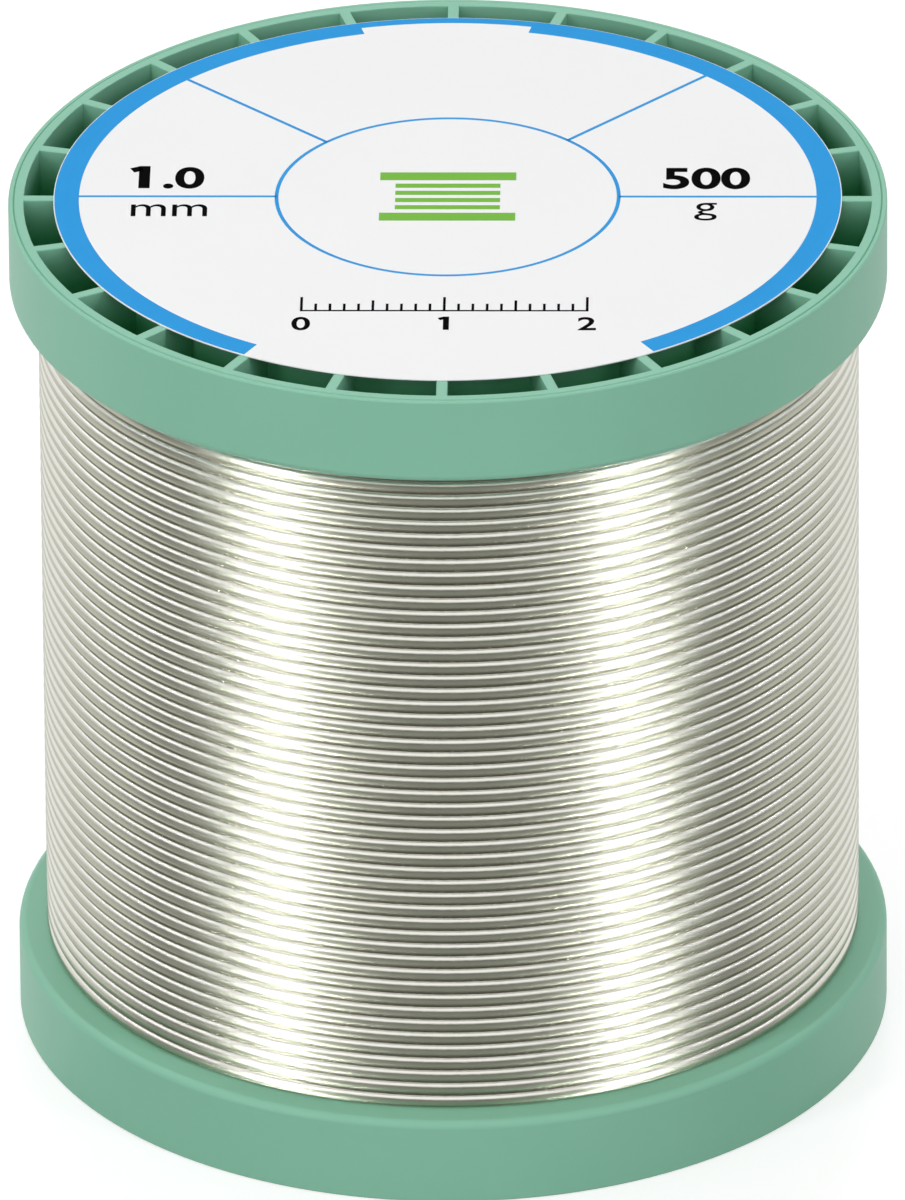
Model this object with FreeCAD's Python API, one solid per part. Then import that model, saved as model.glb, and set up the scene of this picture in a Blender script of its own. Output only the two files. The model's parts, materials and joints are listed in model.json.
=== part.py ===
import FreeCAD, Part

import math
import os

from FreeCAD import Vector

# A spool of flux-cored solder wire, standing on its lower flange.
# Lengths are in millimetres and angles in degrees. +Z runs up the spool's axis. The origin is the
# centre of the face that the spool stands on, and -Y is its front.

# Moulded spool, outside
spool_height = 63.8
flange_radius = 31.0
flange_thickness = 6.4
edge_radius = 0.6  # rounding of each flange's edge on the side of the wire
rim_step_width = 0.38  # fine step round the outer edge of each end face
rim_step_height = 0.12

# Moulded spool, walls and ribs of each flange
web_thickness = 1.6  # the disc that the wire lies against
rim_wall = 1.1
rim_cell_length = 4.6  # radial, from the rim to the ring wall
ring_wall = 1.0
rib_count = 24
rib_thickness = 0.8

# Barrel and hub
barrel_radius = 16.25
barrel_wall = 1.6
bore_radius = 5.5
bore_chamfer = 0.5
hub_wall = 1.6
hub_rib_count = 12

# Push fit of the two halves, inside the barrel at half height
spigot_length = 8.0
spigot_root_length = 3.0
spigot_wall = 1.2
spigot_clearance = 0.05
spigot_end_gap = 0.5  # from the spigot's tip to the ribs of the lower half
spigot_lead = 0.4  # chamfer round the spigot's tip

# Solder wire
wire_diameter = 1.0
flux_diameter = 0.4  # across the corners of the thread, which is drawn with flat sides
flux_sides = 8
winding_inset = 0.9  # from the inside of the rim to the outside of the winding
layer_loops = 24
turn_gap = 0.5  # least space left between two turns, where the winding is short
bend_inside = 0.5  # radius on the inside of the bend at both ends of the outer layer
tail_rise = 0.1  # straight run above the lower web, before the bend
tail_length = 2.2  # what stands out of the lower web inside the rim cell
tie_off_clearance = 0.25  # around the wire in its hole
tie_off_cell = 12  # counted from the cell just right of the front rib

# Label
label_overhang = 2.5  # past the ring wall
label_thickness = 0.12

# Places that follow from the sizes above
middle_height = spool_height / 2
lower_web_face = flange_thickness
upper_web_face = spool_height - flange_thickness
rim_inner_radius = flange_radius - rim_wall
ring_outer_radius = rim_inner_radius - rim_cell_length
barrel_inner_radius = barrel_radius - barrel_wall
hub_radius = bore_radius + hub_wall
spigot_radius = barrel_inner_radius - spigot_clearance
wire_radius = wire_diameter / 2
winding_radius = rim_inner_radius - winding_inset
core_radius = winding_radius - wire_diameter
layer_radius = winding_radius - wire_radius
bend_radius = bend_inside + wire_radius
head_run = wire_diameter
tie_off_radius = wire_radius + tie_off_clearance
label_radius = ring_outer_radius + label_overhang
rib_pitch = 360.0 / rib_count
front_angle = -90.0
tie_off_angle = front_angle + (tie_off_cell - 0.5) * rib_pitch

UP = Vector(0, 0, 1)
AXIS_POINT = Vector(0, 0, 0)
edge_match = 0.001  # how closely an edge has to lie where it is looked for
stations_per_turn = 2  # points at which the wire's arcs are put on the helix


def disc(radius, bottom, top):
    """A solid cylinder on the spool's axis."""
    return Part.makeCylinder(radius, top - bottom, Vector(0, 0, bottom))


def tube(inner_radius, outer_radius, bottom, top):
    """A ring on the spool's axis."""
    return disc(outer_radius, bottom, top).cut(disc(inner_radius, bottom, top))


def ribs(count, inner_radius, outer_radius, bottom, top):
    """Evenly spaced radial ribs, one of them towards the front."""
    rib = Part.makeBox(
        outer_radius - inner_radius,
        rib_thickness,
        top - bottom,
        Vector(inner_radius, -rib_thickness / 2, bottom),
    )
    copies = []
    for index in range(count):
        copy = rib.copy()
        copy.rotate(AXIS_POINT, UP, front_angle + index * 360.0 / count)
        copies.append(copy)
    return copies


def circular_edges(shape, radius, height):
    """The edges of a shape that are circles on the spool's axis, of this radius and at this height."""
    found = []
    for edge in shape.Edges:
        curve = edge.Curve
        if not isinstance(curve, Part.Circle):
            continue
        offset = curve.Center.sub(Vector(0, 0, height)).Length
        if abs(curve.Radius - radius) + offset < edge_match:
            found.append(edge)
    return found


def plain_half(hub_rib_top):
    """What both halves of the spool share, standing on its end face."""
    web = tube(bore_radius, flange_radius, lower_web_face - web_thickness, lower_web_face)
    rim = tube(rim_inner_radius, flange_radius, 0, lower_web_face)
    ring = tube(ring_outer_radius - ring_wall, ring_outer_radius, 0, lower_web_face)
    barrel = tube(barrel_inner_radius, barrel_radius, 0, middle_height)
    hub = tube(bore_radius, hub_radius, 0, middle_height)
    flange_ribs = ribs(
        rib_count,
        barrel_radius - barrel_wall / 2,
        rim_inner_radius + rim_wall / 2,
        0,
        lower_web_face - web_thickness / 2,
    )
    hub_ribs = ribs(
        hub_rib_count,
        hub_radius - hub_wall / 2,
        barrel_inner_radius + barrel_wall / 2,
        0,
        hub_rib_top,
    )
    half = web.multiFuse([rim, ring, barrel, hub] + flange_ribs + hub_ribs).removeSplitter()
    half = half.makeFillet(edge_radius, circular_edges(half, flange_radius, lower_web_face))
    half = half.makeChamfer(bore_chamfer, circular_edges(half, bore_radius, 0))
    step = tube(flange_radius - rim_step_width, flange_radius + rim_step_width, 0, rim_step_height)
    return half.cut(step)


def lower_spool_half():
    """The lower half, whose barrel is the socket, with the hole that holds the wire's free end."""
    half = plain_half(middle_height - spigot_length - spigot_end_gap)
    hole = Part.makeCylinder(tie_off_radius, flange_thickness, tail_point(0), UP)
    return half.cut(hole)


def upper_spool_half():
    """The upper half, whose barrel ends in the spigot."""
    half = plain_half(middle_height).mirror(Vector(0, 0, middle_height), UP)
    spigot_inner_radius = spigot_radius - spigot_wall
    root_top = middle_height + spigot_root_length
    tip = middle_height - spigot_length
    root = tube(spigot_inner_radius, barrel_inner_radius + barrel_wall / 2, middle_height, root_top)
    spigot = tube(spigot_inner_radius, spigot_radius, tip, root_top)
    spigot = spigot.makeChamfer(spigot_lead, circular_edges(spigot, spigot_radius, tip))
    return half.multiFuse([root, spigot]).removeSplitter()


def inner_wire_layers():
    """The wire under the outer layer, as one plain core between the webs."""
    return tube(barrel_radius, core_radius, lower_web_face, upper_web_face)


def wire_point(angle, height):
    """A point on the middle line of the outer layer."""
    turn = math.radians(angle)
    return Vector(layer_radius * math.cos(turn), layer_radius * math.sin(turn), height)


def around(angle):
    """The level direction in which the wire runs round the spool at this angle."""
    turn = math.radians(angle)
    return Vector(-math.sin(turn), math.cos(turn), 0)


def layer_start_angle():
    """The angle at which the wire, coming up through its hole, joins the first turn."""
    return tie_off_angle + math.degrees(math.atan(bend_radius / layer_radius))


def tail_point(height):
    """The point of this height on the line where the wire's free end goes through the lower flange."""
    start_angle = layer_start_angle()
    return wire_point(start_angle, height) - around(start_angle) * bend_radius


def tail_end():
    """The tip of the wire's free end, inside its rim cell."""
    return tail_point(lower_web_face - web_thickness - tail_length)


def arc_inside(start, corner, end):
    """The arc from start to end that touches the lines to their corner, which is as far from both."""
    chord_middle = (start + end) / 2
    rise = corner - chord_middle
    half_chord = (end - start).Length / 2
    leg = (corner - start).Length
    sagitta = half_chord * (leg - half_chord) / rise.Length
    middle = chord_middle + rise / rise.Length * sagitta
    return Part.Arc(start, middle, end).toShape()


def biarc(start, start_direction, end, end_direction):
    """Two tangent arcs that leave start and reach end in the given unit directions."""
    chord = end - start
    sweep = chord.dot(start_direction + end_direction)
    spread = 2 * (1 - start_direction.dot(end_direction))
    leg = (math.sqrt(sweep * sweep + spread * chord.dot(chord)) - sweep) / spread
    first_corner = start + start_direction * leg
    second_corner = end - end_direction * leg
    meeting = (first_corner + second_corner) / 2
    return [arc_inside(start, first_corner, meeting), arc_inside(meeting, second_corner, end)]


def outer_layer_path():
    """The middle line of the outer layer, from its free end up to the upper web."""
    first_height = lower_web_face + tail_rise + bend_radius
    last_height = upper_web_face - head_run - bend_radius
    rise = last_height - first_height
    loops = min(layer_loops, int(rise / (wire_diameter + turn_gap)))
    last_station = stations_per_turn * loops
    start_angle = layer_start_angle()
    slope = UP * (rise / loops / (2 * math.pi * layer_radius))

    stations = []
    for index in range(last_station + 1):
        angle = start_angle + index * 360.0 / stations_per_turn
        point = wire_point(angle, first_height + rise * index / last_station)
        level = around(angle)
        at_an_end = index in (0, last_station)
        direction = level if at_an_end else (level + slope).normalize()
        stations.append((point, direction))

    first_point = stations[0][0]
    last_point, last_direction = stations[-1]
    tail_top = tail_point(first_height - bend_radius)
    lower_corner = tail_point(first_height)
    upper_corner = last_point + last_direction * bend_radius
    head_bottom = upper_corner + UP * bend_radius
    head_end = head_bottom + UP * head_run

    edges = [Part.LineSegment(tail_end(), tail_top).toShape()]
    edges.append(arc_inside(tail_top, lower_corner, first_point))
    for (start, start_direction), (end, end_direction) in zip(stations, stations[1:]):
        edges += biarc(start, start_direction, end, end_direction)
    edges.append(arc_inside(last_point, upper_corner, head_bottom))
    edges.append(Part.LineSegment(head_bottom, head_end).toShape())
    return Part.Wire(edges)


def wire_section(centre):
    """The round outline of the wire, level, about this point."""
    return Part.Wire(Part.Circle(centre, UP, wire_radius).toBSpline().toShape())


def flux_section(centre):
    """The flat-sided outline of the flux, level, about this point."""
    corners = []
    for index in range(flux_sides):
        turn = 2 * math.pi * index / flux_sides
        corners.append(centre + Vector(math.cos(turn), math.sin(turn), 0) * (flux_diameter / 2))
    return Part.makePolygon(corners + corners[:1])


def swept(path, section):
    """A bar of this section along a path that starts straight up."""
    sweep = Part.BRepOffsetAPI.MakePipeShell(path)
    sweep.add(section)
    sweep.build()
    sweep.makeSolid()
    return sweep.shape()


def outer_wire_layer(path):
    """The outer layer of turns, one unbroken wire with the bore that its flux fills."""
    return swept(path, wire_section(tail_end())).cut(flux_core(path))


def flux_core(path):
    """The thread of flux inside the outer layer's wire."""
    return swept(path, flux_section(tail_end()))


def label():
    """The round paper label that lies on the upper ribs and closes the bore."""
    return disc(label_radius, spool_height, spool_height + label_thickness)


def least_gap(path):
    """The least space between two stretches of the wire that are over half a turn apart."""
    spacing = wire_diameter / 2
    points = path.discretize(Distance=spacing)
    half_turn = int(math.pi * layer_radius / spacing)
    nearest = min(
        points[first].distanceToPoint(points[second])
        for first in range(0, len(points) - half_turn)
        for second in range(first + half_turn, min(first + 3 * half_turn, len(points)))
    )
    return nearest - wire_diameter


def save(node, shape):
    """Write one node's solid."""
    shape.exportStep("parts/" + node + ".step")
    print(node, "solids", len(shape.Solids), "valid", shape.isValid(), "volume", round(shape.Volume, 1))


def main():
    os.makedirs("parts", exist_ok=True)
    path = outer_layer_path()
    save("lower_spool_half", lower_spool_half())
    save("upper_spool_half", upper_spool_half())
    save("inner_wire_layers", inner_wire_layers())
    save("outer_wire_layer", outer_wire_layer(path))
    save("flux_core", flux_core(path))
    save("label", label())
    print("least gap of the wire to itself", round(least_gap(path), 3))
    wire_area = math.pi * wire_radius ** 2
    print("wire section times length", round(wire_area * path.Length, 1))


main()
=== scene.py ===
"""A spool of flux-cored solder wire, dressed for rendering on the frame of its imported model.

Lengths are in metres. +Z runs up the spool's axis, the spool stands on Z = 0 and its front is towards -Y.
"""

import enum
import json
import logging
import math
from collections.abc import Callable, Iterator
from contextlib import contextmanager
from dataclasses import dataclass
from functools import cache

import bmesh
import bpy
import numpy as np
from mathutils import Matrix, Vector


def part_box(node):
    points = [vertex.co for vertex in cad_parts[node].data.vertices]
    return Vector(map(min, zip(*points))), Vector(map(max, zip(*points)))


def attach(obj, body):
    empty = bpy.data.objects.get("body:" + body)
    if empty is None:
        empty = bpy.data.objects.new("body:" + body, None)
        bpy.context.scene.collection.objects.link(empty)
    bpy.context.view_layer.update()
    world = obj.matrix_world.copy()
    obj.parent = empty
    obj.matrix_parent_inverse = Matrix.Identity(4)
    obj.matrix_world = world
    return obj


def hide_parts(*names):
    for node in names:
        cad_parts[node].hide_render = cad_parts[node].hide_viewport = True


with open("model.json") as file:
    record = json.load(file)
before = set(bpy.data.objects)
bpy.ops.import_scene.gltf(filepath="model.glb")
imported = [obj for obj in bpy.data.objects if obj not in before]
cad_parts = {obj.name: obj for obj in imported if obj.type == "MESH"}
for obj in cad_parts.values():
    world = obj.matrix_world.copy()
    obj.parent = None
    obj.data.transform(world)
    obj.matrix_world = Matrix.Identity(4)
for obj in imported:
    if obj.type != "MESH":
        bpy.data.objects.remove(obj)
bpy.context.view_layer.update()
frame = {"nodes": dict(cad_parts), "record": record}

log = logging.getLogger("solder_spool")

MM = 0.001
ROOT = "root"
FULL_TURN = 2 * math.pi
FRONT_ANGLE = math.radians(-90.0)
FLAT = 1e-6  # how closely a point has to lie where it is looked for
WELD = 1e-7  # how near to each other two corners are merged
SHARP = 40.0  # degrees from which an edge of a stiff piece stays sharp
WHITE = (1, 1, 1, 1)

Triple = tuple[float, float, float]
Colour = Triple
Place = tuple[float, float]
Span = tuple[float, float]
Piece = bpy.types.Object
Socket = bpy.types.NodeSocket
MeshPart = bmesh.types.BMFace | bmesh.types.BMEdge


def linear(*levels: int) -> Colour:
    """Turn the red, green and blue of a screen colour, 0 to 255, into the linear values that shaders take."""
    shares = (level / 255 for level in levels)
    return tuple(share / 12.92 if share <= 0.04045 else ((share + 0.055) / 1.055) ** 2.4 for share in shares)


def polar(radius: float, angle: float, height: float = 0.0) -> Triple:
    """Point at a distance from the spool's axis, an angle about it and a height."""
    return radius * math.cos(angle), radius * math.sin(angle), height


def radius_of(point: Vector) -> float:
    """Distance of a point from the spool's axis."""
    return math.hypot(point.x, point.y)


# ---- Bench: selecting by place and shaping as by hand ----


class Part(enum.Enum):
    """Which parts of a mesh are selected."""

    VERTS = "VERT"
    EDGES = "EDGE"
    FACES = "FACE"


def clear_bench() -> None:
    """Deselect every object, so that an operator acts on nothing by accident."""
    bpy.ops.object.select_all(action="DESELECT")
    bpy.context.view_layer.objects.active = None


def take_up(*pieces: Piece) -> None:
    """Make some objects the only selected ones, and the first of them the active one.

    Args:
        *pieces: The objects.
    """
    clear_bench()
    for piece in pieces:
        piece.select_set(True)
    bpy.context.view_layer.objects.active = pieces[0]


def new_piece(name: str) -> Piece:
    """Name the primitive that was just added.

    Args:
        name: Name for the object and its mesh.

    Returns:
        The object.
    """
    piece = bpy.context.active_object
    piece.name = name
    piece.data.name = name
    return piece


def settle(name: str, scale: Triple = (1, 1, 1)) -> Piece:
    """Name the primitive that was just added, and keep its place, turn and scale in its mesh.

    Args:
        name: Name for the object and its mesh.
        scale: What it is stretched to along its own axes.

    Returns:
        The object.
    """
    piece = new_piece(name)
    piece.scale = scale
    bpy.ops.object.transform_apply(location=True, rotation=True, scale=True)
    return piece


@contextmanager
def editing(piece: Piece) -> Iterator[None]:
    """Hold a piece in edit mode for the length of a with block.

    Args:
        piece: The object.
    """
    take_up(piece)
    bpy.ops.object.mode_set(mode="EDIT")
    try:
        yield
    finally:
        bpy.ops.object.mode_set(mode="OBJECT")


def pick_all(part: Part) -> None:
    """Select every vertex, edge or face of the piece in edit mode."""
    bpy.ops.mesh.select_mode(type=part.value)
    bpy.ops.mesh.select_all(action="SELECT")


def pick(part: Part, wanted: Callable[[MeshPart], bool]) -> int:
    """Select the edges or faces of the piece in edit mode that pass a test, and nothing else.

    Args:
        part: Whether edges or faces.
        wanted: Test of one edge or face.

    Returns:
        How many were selected.
    """
    bpy.ops.mesh.select_mode(type=part.value)
    bpy.ops.mesh.select_all(action="DESELECT")
    edited = bpy.context.edit_object.data
    mesh = bmesh.from_edit_mesh(edited)
    chosen = [item for item in (mesh.faces if part is Part.FACES else mesh.edges) if wanted(item)]
    for item in chosen:
        item.select_set(True)
    bmesh.update_edit_mesh(edited)
    return len(chosen)


def draw_ring(profile: list[Place]) -> None:
    """Turn the selected ring of edges along a profile about the spool's axis.

    Args:
        profile: Radius and height of each place that the ring goes through. The first is where it is.
    """
    for (radius, height), (next_radius, next_height) in zip(profile, profile[1:]):
        bpy.ops.mesh.extrude_edges_move(TRANSFORM_OT_translate={"value": (0, 0, next_height - height)})
        if abs(next_radius - radius) > FLAT:
            scale = next_radius / radius
            bpy.ops.transform.resize(value=(scale, scale, 1), center_override=(0, 0, next_height))


def use_modifier(piece: Piece, kind: str, **settings: object) -> None:
    """Add a modifier to a piece, set it up and apply it.

    Args:
        piece: The object.
        kind: The modifier's type.
        **settings: Its properties.
    """
    take_up(piece)
    modifier = piece.modifiers.new(kind.lower(), kind)
    for name, value in settings.items():
        setattr(modifier, name, value)
    bpy.ops.object.modifier_apply(modifier=modifier.name)


def use_tool(piece: Piece, tool: Piece, operation: str) -> None:
    """Unite a piece with a second one, or cut that out of it, and put the second one away.

    Args:
        piece: The object that is worked on.
        tool: The second object.
        operation: UNION or DIFFERENCE.
    """
    use_modifier(piece, "BOOLEAN", object=tool, operation=operation, solver="EXACT")
    bpy.data.objects.remove(tool)


def face_outwards(piece: Piece) -> None:
    """Merge a closed piece's doubles and turn all its faces outwards.

    Args:
        piece: The object.
    """
    with editing(piece):
        pick_all(Part.FACES)
        bpy.ops.mesh.remove_doubles(threshold=WELD)
        bpy.ops.mesh.normals_make_consistent(inside=False)


def smooth(piece: Piece, sharp_from: float) -> None:
    """Shade a piece smooth, apart from edges sharper than an angle in degrees."""
    take_up(piece)
    bpy.ops.object.shade_smooth_by_angle(angle=math.radians(sharp_from))


def smooth_stiff(piece: Piece) -> None:
    """Shade a stiff piece smooth, with its broad faces flat and its sharp edges kept."""
    smooth(piece, SHARP)
    use_modifier(piece, "WEIGHTED_NORMAL", keep_sharp=True, weight=100)


def join(name: str, pieces: list[Piece]) -> Piece:
    """Join several objects into one.

    Args:
        name: Name for the joined object.
        pieces: The objects.

    Returns:
        The joined object.
    """
    take_up(*pieces)
    bpy.ops.object.join()
    return new_piece(name)


def fit_piece(piece: Piece, material: bpy.types.Material, slot: str, *nodes: str) -> None:
    """Dress a finished piece and seat it on the spool.

    Args:
        piece: The finished object.
        material: What it is made of.
        slot: The record's material slot that its finish comes from; not used.
        *nodes: The frame's nodes that it stands for.
    """
    piece.data.materials.clear()
    piece.data.materials.append(material)
    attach(piece, ROOT)
    if nodes:
        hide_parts(*nodes)
    log.info("%s: %d triangles", piece.name, sum(len(face.vertices) - 2 for face in piece.data.polygons))


# ---- Finishes ----


class Board:
    """A node tree under construction."""

    def __init__(self, tree: bpy.types.NodeTree) -> None:
        """Start on an emptied tree."""
        self.tree = tree
        tree.nodes.clear()

    def plug(self, socket: Socket, value: object) -> None:
        """Give an input a value or a link.

        Args:
            socket: The input.
            value: The value, or the socket that it is linked to.
        """
        if isinstance(value, Socket):
            self.tree.links.new(value, socket)
        else:
            socket.default_value = value

    def add(self, kind: str, inputs: dict[str | int, object] | None = None, **settings: object) -> bpy.types.Node:
        """Add a shader node.

        Args:
            kind: The node's type, without what all their names begin with.
            inputs: Values or sockets for its inputs, by name or index.
            **settings: The node's own properties.

        Returns:
            The node.
        """
        node = self.tree.nodes.new("ShaderNode" + kind)
        for name, value in settings.items():
            setattr(node, name, value)
        for key, value in (inputs or {}).items():
            self.plug(node.inputs[key], value)
        return node

    def maths(self, operation: str, *values: object, clamp: bool = False) -> Socket:
        """Add a maths node and return its result."""
        return self.add("Math", dict(enumerate(values)), operation=operation, use_clamp=clamp).outputs[0]

    def ramp(self, value: object, start: float, end: float) -> Socket:
        """Rise smoothly from 0 to 1 between two values and return the result."""
        return self.add("MapRange", {0: value, 1: start, 2: end}, interpolation_type="SMOOTHSTEP").outputs[0]

    def vary(self, middle: float, spread: float, noise: Socket) -> Socket:
        """Spread a value evenly about its middle by a noise of 0 to 1 and return the result."""
        return self.maths("MULTIPLY_ADD", noise, spread, middle - spread / 2)

    def vector(self, operation: str, *values: object, **inputs: object) -> Socket:
        """Add a vector maths node and return its result."""
        return self.add("VectorMath", {**dict(enumerate(values)), **inputs}, operation=operation).outputs[0]

    def coordinate(self, place: Socket, axis: int) -> Socket:
        """Take one coordinate out of a vector and return it."""
        return self.add("SeparateXYZ", {0: place}).outputs[axis]

    def blend(self, share: object, first: object, second: object) -> Socket:
        """Mix two colours.

        Args:
            share: How much of the second there is.
            first: The first, as three values or a socket.
            second: The second, likewise.

        Returns:
            The mixed colour.
        """
        node = self.add("Mix", data_type="RGBA")
        for index, value in ((0, share), (6, first), (7, second)):
            self.plug(node.inputs[index], (*value, 1) if isinstance(value, tuple) else value)
        return node.outputs[2]

    def shade(self, inputs: dict[str, object]) -> None:
        """Add the surface's own shader with these inputs, and the material's output."""
        shader = self.add("BsdfPrincipled", inputs)
        self.add("OutputMaterial", {0: shader.outputs[0]})


@cache
def surface_grain() -> bpy.types.NodeTree:
    """Build the node group that all finishes share: fine surface grain with broad, faint mottling.

    Returns:
        The group.
    """
    tree = bpy.data.node_groups.new("surface_grain", "ShaderNodeTree")
    sockets = {
        "INPUT": {"Vector": "Vector", "Grain Scale": "Float", "Grain Detail": "Float", "Mottle Scale": "Float"},
        "OUTPUT": {"Height": "Float", "Mottle": "Float"},
    }
    for side, named in sockets.items():
        for name, kind in named.items():
            tree.interface.new_socket(name, in_out=side, socket_type="NodeSocket" + kind)
    board = Board(tree)
    given = tree.nodes.new("NodeGroupInput").outputs
    out = tree.nodes.new("NodeGroupOutput").inputs
    fine = {"Scale": given["Grain Scale"], "Detail": given["Grain Detail"], "Roughness": 0.6}
    broad = {"Scale": given["Mottle Scale"], "Detail": 3.0}
    for name, noise in (("Height", fine), ("Mottle", broad)):
        board.plug(out[name], board.add("TexNoise", {"Vector": given["Vector"], **noise}).outputs[0])
    return tree


class Finish:
    """What all finishes have: a name, surface grain, and mottling on the piece's own coordinates."""

    name: str
    grain_per_metre: float
    mottle_per_metre: float
    grain_detail: float = 4.0
    grain_stretch: Triple | None = None

    def begin(self) -> tuple[bpy.types.Material, Board, Socket, bpy.types.NodeOutputs]:
        """Start the material with its grain.

        Returns:
            The material, its board, the coordinates, and the grain's outputs Height and Mottle.
        """
        material = bpy.data.materials.new(self.name)
        material.use_nodes = True
        board = Board(material.node_tree)
        place = board.add("TexCoord").outputs["Object"]
        stretched = board.vector("MULTIPLY", place, self.grain_stretch) if self.grain_stretch else place
        grain = board.add("Group", node_tree=surface_grain())
        values = (stretched, self.grain_per_metre, self.grain_detail, self.mottle_per_metre)
        for socket, value in zip(grain.inputs, values):
            board.plug(socket, value)
        return material, board, place, grain.outputs


@dataclass(frozen=True)
class PlainFinish(Finish):
    """Paper, print or resin: one colour with faint mottling and grain."""

    name: str
    colour: Colour
    mottle_colour: Colour
    roughness: float
    specular: float
    grain_per_metre: float
    mottle_per_metre: float
    grain_depth: float
    roughness_spread: float = 0.1
    grain_strength: float = 0.3

    def build(self) -> bpy.types.Material:
        """Build the material.

        Returns:
            The material.
        """
        material, board, place, grain = self.begin()
        relief = {"Height": grain["Height"], "Strength": self.grain_strength, "Distance": self.grain_depth}
        board.shade(
            {
                "Base Color": self._skin(board, place, grain["Mottle"]),
                "Roughness": board.vary(self.roughness, self.roughness_spread, grain["Height"]),
                "Specular IOR Level": self.specular,
                "Normal": board.add("Bump", relief).outputs[0],
            }
        )
        return material

    def _skin(self, board: Board, place: Socket, mottle: Socket) -> Socket:
        """Mix the colour, by the mottling and, where a finish needs it, by the coordinates."""
        return board.blend(mottle, self.mottle_colour, self.colour)


@dataclass(frozen=True)
class MouldedPlastic(PlainFinish):
    """Satin moulded plastic, with painted shade that darkens it inside the cells."""

    name: str = "green_moulding"
    colour: Colour = linear(137, 195, 169)
    mottle_colour: Colour = linear(131, 190, 163)
    # painted shade that darkens the cells towards their floors
    cell_shade_colour: Colour = linear(58, 152, 98)
    cell_shade_span: Span = (0.02, 0.75)
    cell_depth: float = 4.8 * MM
    cell_end: float = 1.02
    rim_span: Span = (30.05 * MM, 29.95 * MM)
    spool_height: float = 63.8 * MM
    roughness: float = 0.46
    roughness_spread: float = 0.12
    specular: float = 0.35
    grain_per_metre: float = 5200.0
    mottle_per_metre: float = 120.0
    grain_strength: float = 0.35
    grain_depth: float = 0.006 * MM

    def _cell_shade_share(self, board: Board, place: Socket) -> Socket:
        """Find how much painted shade a point gets, by how deep in a cell it lies.

        Args:
            board: The material's board.
            place: The coordinates.

        Returns:
            A share from 0 at a cell's mouth to 1 at its floor, and 0 outside the rim.
        """
        height = board.coordinate(place, 2)
        depth = board.maths("MINIMUM", height, board.maths("SUBTRACT", self.spool_height, height))
        sunk = board.ramp(depth, *(share * self.cell_depth for share in self.cell_shade_span))
        in_flange = board.maths("LESS_THAN", depth, self.cell_end * self.cell_depth)
        level = board.vector("MULTIPLY", place, (1, 1, 0))
        radius = board.add("VectorMath", {0: level}, operation="LENGTH").outputs["Value"]
        return board.maths("MULTIPLY", board.maths("MULTIPLY", sunk, in_flange), board.ramp(radius, *self.rim_span))

    def _skin(self, board: Board, place: Socket, mottle: Socket) -> Socket:
        """Mix the colour, with painted shade deeper in the cells."""
        # painted shade, stronger the deeper a point lies in a cell
        return board.blend(self._cell_shade_share(board, place), super()._skin(board, place, mottle), self.cell_shade_colour)


@dataclass(frozen=True)
class DrawnSolder(Finish):
    """Bright solder wire with painted shade on each turn's underside and in the creases, which are smeared flat."""

    name: str = "bright_solder"
    colour: Colour = (0.72, 0.715, 0.66)
    # painted shade: the downward-facing side of each turn is darker, standing in for the darker floor it mirrors
    underside_shade: Colour = (0.42, 0.425, 0.335)
    underside_shade_span: Span = (0.3, 0.62)
    # painted shade in the creases between turns, where the turns touch
    crease_shade: Colour = (0.265, 0.26, 0.19)
    crease_above: Span = (0.8, 0.93)
    crease_below: Span = (-0.28, -0.62)
    crease_tilt: float = 0.1
    crease_grain: float = 3.0
    roughness: float = 0.31
    roughness_spread: float = 0.1
    anisotropy: float = 0.2
    across: float = 0.25
    grain_per_metre: float = 3600.0
    mottle_per_metre: float = 700.0
    grain_detail: float = 2.0
    grain_stretch: Triple = (0.9, 0.9, 1.2)
    grain_strength: float = 0.5
    grain_depth: float = 0.03 * MM

    def build(self) -> bpy.types.Material:
        """Build the material.

        Returns:
            The material.
        """
        material, board, place, grain = self.begin()
        facing = board.add("NewGeometry").outputs["Normal"]
        tilt = board.coordinate(facing, 2)
        crease = board.maths("MAXIMUM", board.ramp(tilt, *self.crease_above), board.ramp(tilt, *self.crease_below))
        # painted shade on the downward-facing side of each turn
        skin_with_underside_shade = board.blend(board.ramp(tilt, *self.underside_shade_span), self.underside_shade, self.colour)
        coarser = board.maths("MULTIPLY_ADD", crease, self.crease_grain, 1.0)
        relief = {
            "Height": board.maths("MULTIPLY", board.maths("SUBTRACT", grain["Height"], 0.5), coarser),
            "Strength": self.grain_strength,
            "Distance": self.grain_depth,
            "Normal": self._smeared(board, place, facing, crease),
        }
        board.shade(
            {
                # painted shade in the creases between turns
                "Base Color": board.blend(crease, skin_with_underside_shade, self.crease_shade),
                "Metallic": 1.0,
                "Roughness": board.vary(self.roughness, self.roughness_spread, grain["Mottle"]),
                "Anisotropic": self.anisotropy,
                "Anisotropic Rotation": self.across,
                "Normal": board.add("Bump", relief).outputs[0],
            }
        )
        return material

    def _smeared(self, board: Board, place: Socket, facing: Socket, crease: Socket) -> Socket:
        """Turn the surface in the creases outwards from the spool's axis, as if the turns were smeared together.

        Args:
            board: The material's board.
            place: The coordinates.
            facing: The surface's own normal.
            crease: How much of a crease there is.

        Returns:
            The turned normal.
        """
        level = board.vector("NORMALIZE", board.vector("MULTIPLY", place, (1, 1, 0)))
        away = board.vector("SUBTRACT", board.vector("ADD", level, (0, 0, self.crease_tilt)), facing)
        return board.vector("NORMALIZE", board.vector("ADD", facing, board.vector("SCALE", away, Scale=crease)))


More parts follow.
